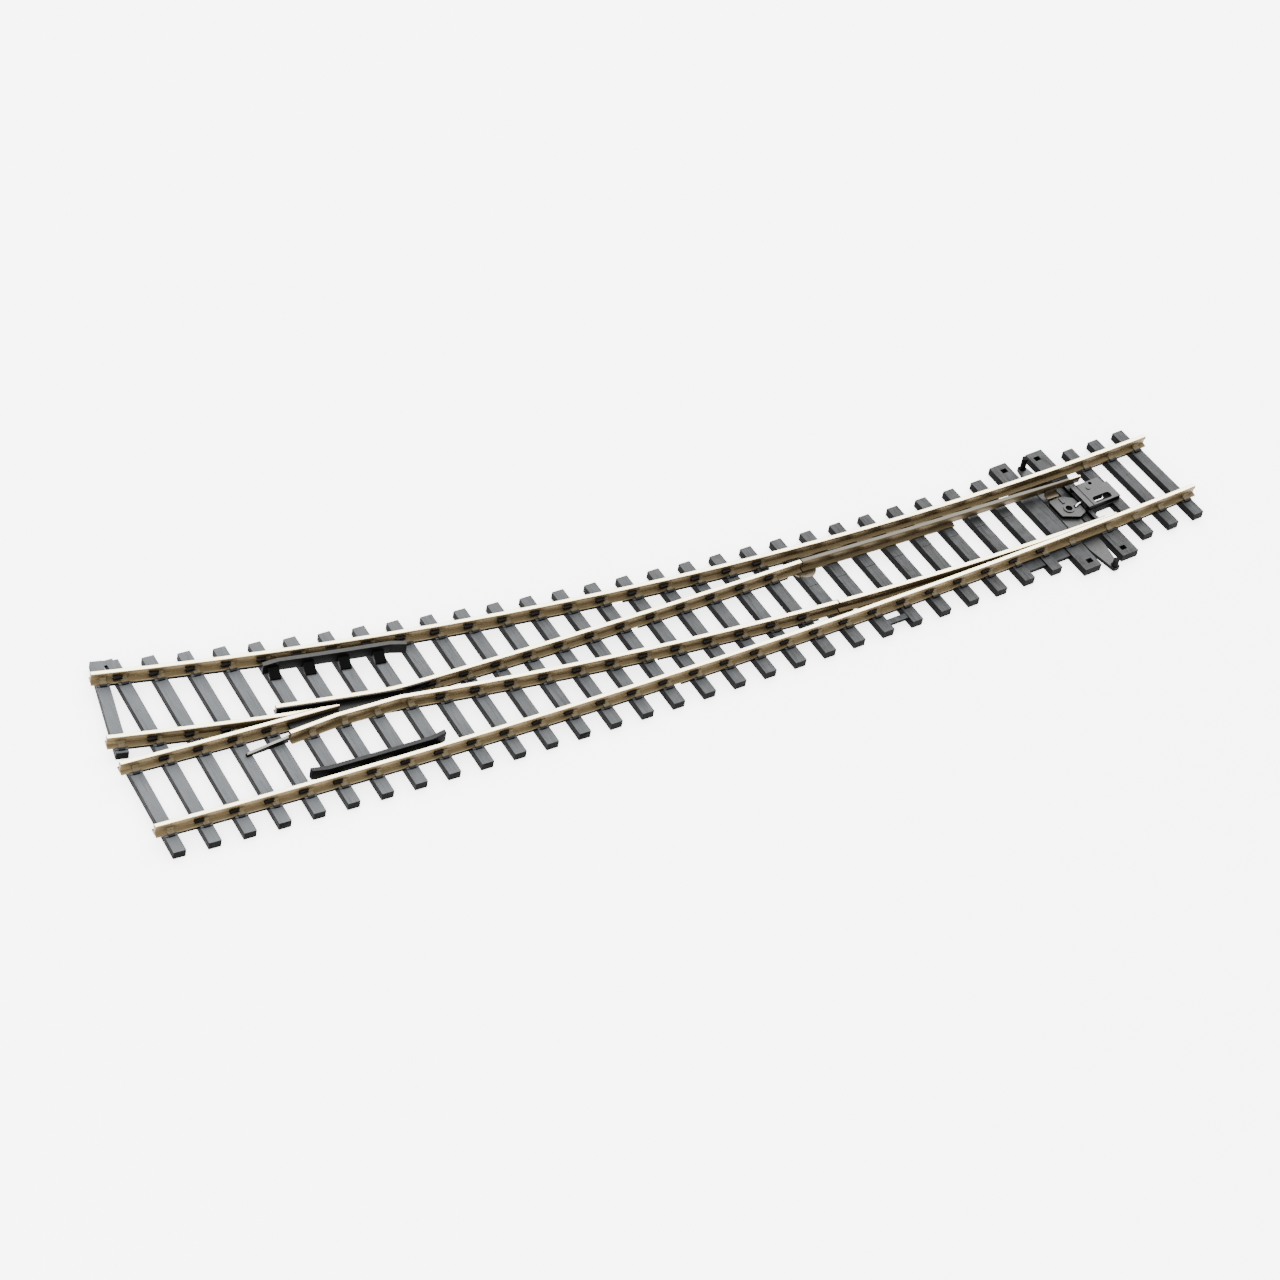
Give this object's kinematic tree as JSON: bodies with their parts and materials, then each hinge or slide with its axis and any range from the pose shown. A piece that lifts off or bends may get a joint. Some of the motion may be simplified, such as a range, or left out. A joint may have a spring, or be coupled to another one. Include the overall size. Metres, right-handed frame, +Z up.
{
  "type": "model turnout switch",
  "caption": "Curved railway model turnout: plastic sleeper base, flat-bottom rails, hinged point blades on a sprung sliding tie bar, crossing and check rails.",
  "frame": {"origin": "centre of the plan box at the underside of the sleepers", "axes": "+X towards the toe along the track, +Y towards the inside of the curves, +Z up"},
  "size_m": [0.2558, 0.0742, 0.0045],
  "materials": {
    "sleeper_plastic": "satin",
    "running_rail_metal": "satin",
    "crossing_plastic": "satin",
    "check_rail_plastic": "satin",
    "rear_check_rail_face": "worn",
    "fittings_metal": "satin",
    "tie_bar_plastic": "satin",
    "spring_wire": "bright",
    "cover_plastic": "satin"
  },
  "bodies": {
    "base": {"toe_sleeper_base": "sleeper_plastic", "switch_sleeper_base": "sleeper_plastic", "crossing_sleeper_base": "sleeper_plastic", "front_stock_rail": "running_rail_metal", "rear_stock_rail": "running_rail_metal", "front_closure_rail": "running_rail_metal", "rear_closure_rail": "running_rail_metal", "front_vee_rail": "running_rail_metal", "rear_vee_rail": "running_rail_metal", "crossing_filler": "crossing_plastic", "wing_flare": "crossing_plastic", "front_check_rail": "check_rail_plastic", "rear_check_rail": "rear_check_rail_face", "front_heel_plate": "fittings_metal", "rear_heel_plate": "fittings_metal", "front_heel_pin": "fittings_metal", "rear_heel_pin": "fittings_metal", "spring_cover": "cover_plastic"},
    "tie_bar": {"tie_bar": "tie_bar_plastic"},
    "front_blade": {"front_blade": "running_rail_metal", "front_blade_lug": "fittings_metal"},
    "rear_blade": {"rear_blade": "running_rail_metal", "rear_blade_lug": "fittings_metal"},
    "toggle_spring": {"toggle_spring": "spring_wire"}
  },
  "joints": [
    {"name": "tie_bar_slide", "type": "slide", "parent": "base", "child": "tie_bar", "axis": [0.016, 0.9999, 0], "range_m": [0, 0.0032]},
    {"name": "front_blade_hinge", "type": "hinge", "parent": "base", "child": "front_blade", "pos_m": [0.03401, -0.02029, 0], "axis": [0, 0, 1], "range_deg": [0, 2.9]},
    {"name": "rear_blade_hinge", "type": "hinge", "parent": "base", "child": "rear_blade", "pos_m": [0.03411, -0.00671, 0], "axis": [0, 0, 1], "range_deg": [0, 2.89]},
    {"name": "toggle_spring_swing", "type": "hinge", "parent": "base", "child": "toggle_spring", "pos_m": [0.10854, -0.01684, 0.00225], "axis": [0, 0, 1], "range_deg": [-23.64, 0]}
  ],
  "couplings": [
    {"joint": "front_blade_hinge", "follows": "tie_bar_slide", "rad_per_m": 15.614},
    {"joint": "rear_blade_hinge", "follows": "tie_bar_slide", "rad_per_m": 15.592},
    {"joint": "toggle_spring_swing", "follows": "tie_bar_slide", "rad_per_m": -128.76}
  ]
}
